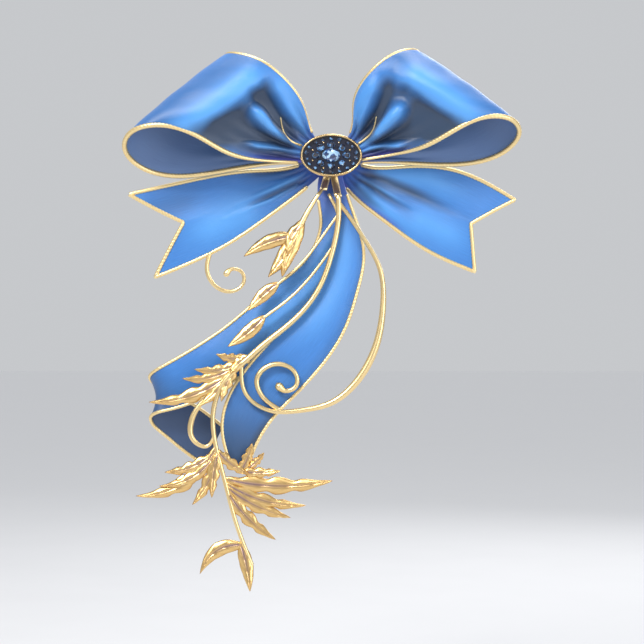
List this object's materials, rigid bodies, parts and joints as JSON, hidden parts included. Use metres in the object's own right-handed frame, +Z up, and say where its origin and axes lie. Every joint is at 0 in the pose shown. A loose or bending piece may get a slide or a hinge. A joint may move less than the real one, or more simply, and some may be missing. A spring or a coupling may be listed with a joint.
{
  "type": "pre-made gift bow",
  "caption": "Pre-made satin ribbon gift bow with two loops, swallow-tailed ends, streamers, a jewelled brooch and a gold filigree drop.",
  "frame": {"origin": "centre of the adhesive pad's rear face, which sticks to the gift, behind the knot", "axes": "+Y points back, out of the pad into the gift; the bow's front faces -Y; +Z up; +X to the right seen from the front"},
  "size_m": [0.1717, 0.0391, 0.2349],
  "materials": {
    "foam_pad": "White foam mounting pad with adhesive on both faces.",
    "backing_card": "Grey board disc.",
    "steel": "Thin steel wire and sheet.",
    "satin_band": "Blue satin ribbon, a little violet where it is gathered.",
    "gold_metal": "Gold-plated cast metal.",
    "dark_enamel": "Near-black blue enamel.",
    "stone_pale": "Pale blue cut glass.",
    "stone_dark": "Deep blue cut glass.",
    "gold_cord": "Gold metallic thread laid over a fine wire.",
    "satin_blue": "Light blue satin ribbon.",
    "gold_filigree": "Soldered and stamped gold-coloured brass."
  },
  "bodies": {
    "knot": {"adhesive_pad": "foam_pad", "backing_card": "backing_card", "centre_rivet": "steel", "knot_band": "satin_band", "binding_staple": "steel", "brooch_posts": "steel", "brooch_backplate": "gold_metal", "brooch_bezel": "gold_metal", "brooch_bed": "dark_enamel", "centre_stone": "stone_pale", "halo_stones": "stone_dark", "rim_stones": "stone_dark", "stone_prongs": "gold_metal"},
    "loop_left": {"loop_left_ribbon": "satin_blue", "loop_left_lower_edge": "gold_cord", "loop_left_upper_edge": "gold_cord"},
    "loop_right": {"loop_right_ribbon": "satin_blue", "loop_right_lower_edge": "gold_cord", "loop_right_upper_edge": "gold_cord"},
    "tail_left": {"tail_left_ribbon": "satin_blue", "tail_left_edge": "gold_cord", "tail_left_curl": "gold_cord"},
    "tail_right": {"tail_right_ribbon": "satin_blue", "tail_right_edge": "gold_cord"},
    "streamer_outer": {"streamer_outer_ribbon": "satin_blue", "streamer_outer_left_edge": "gold_cord", "streamer_outer_right_edge": "gold_cord"},
    "streamer_inner": {"streamer_inner_ribbon": "satin_blue", "streamer_inner_left_edge": "gold_cord", "streamer_inner_right_edge": "gold_cord"},
    "filigree": {"filigree_main_stem": "gold_filigree", "filigree_c_stem": "gold_filigree", "filigree_spiral": "gold_filigree", "leaf_drop_upper_stem": "gold_filigree", "leaf_drop_lower_stem": "gold_filigree", "leaf_drop_upper": "gold_filigree", "leaf_drop_lower": "gold_filigree", "filigree_upper_leaves": "gold_filigree", "filigree_long_leaf": "gold_filigree", "filigree_down_leaves": "gold_filigree", "filigree_loop_leaf": "gold_filigree", "filigree_left_spray": "gold_filigree", "filigree_star_calyx": "gold_filigree", "filigree_right_spray": "gold_filigree", "filigree_tail_hook": "gold_filigree"},
    "bud": {"bud_stem": "gold_filigree", "bud_flower": "gold_filigree"}
  },
  "joints": [
    {"name": "loop_left_fluff", "type": "hinge", "parent": "knot", "child": "loop_left", "pos_m": [-0.003, -0.01475, 0], "axis": [0, 0, 1], "range_deg": [0, 9]},
    {"name": "loop_right_fluff", "type": "hinge", "parent": "knot", "child": "loop_right", "pos_m": [0.003, -0.01475, 0], "axis": [0, 0, -1], "range_deg": [0, 9]},
    {"name": "tail_left_swing", "type": "hinge", "parent": "knot", "child": "tail_left", "pos_m": [0, -0.006, 0], "axis": [0, 1, 0], "range_deg": [-12, 8]},
    {"name": "tail_right_swing", "type": "hinge", "parent": "knot", "child": "tail_right", "pos_m": [0, -0.006, 0], "axis": [0, 1, 0], "range_deg": [-8, 12]},
    {"name": "streamer_outer_swing", "type": "hinge", "parent": "knot", "child": "streamer_outer", "pos_m": [0, -0.006, 0], "axis": [0, 1, 0], "range_deg": [-8, 8]},
    {"name": "streamer_inner_swing", "type": "hinge", "parent": "knot", "child": "streamer_inner", "pos_m": [0, -0.006, 0], "axis": [0, 1, 0], "range_deg": [-8, 8]},
    {"name": "filigree_swing", "type": "hinge", "parent": "knot", "child": "filigree", "pos_m": [0, -0.006, 0], "axis": [0, 1, 0], "range_deg": [-8, 8]},
    {"name": "bud_swing", "type": "hinge", "parent": "knot", "child": "bud", "pos_m": [0, -0.006, 0], "axis": [0, 1, 0], "range_deg": [-12, 12]}
  ]
}
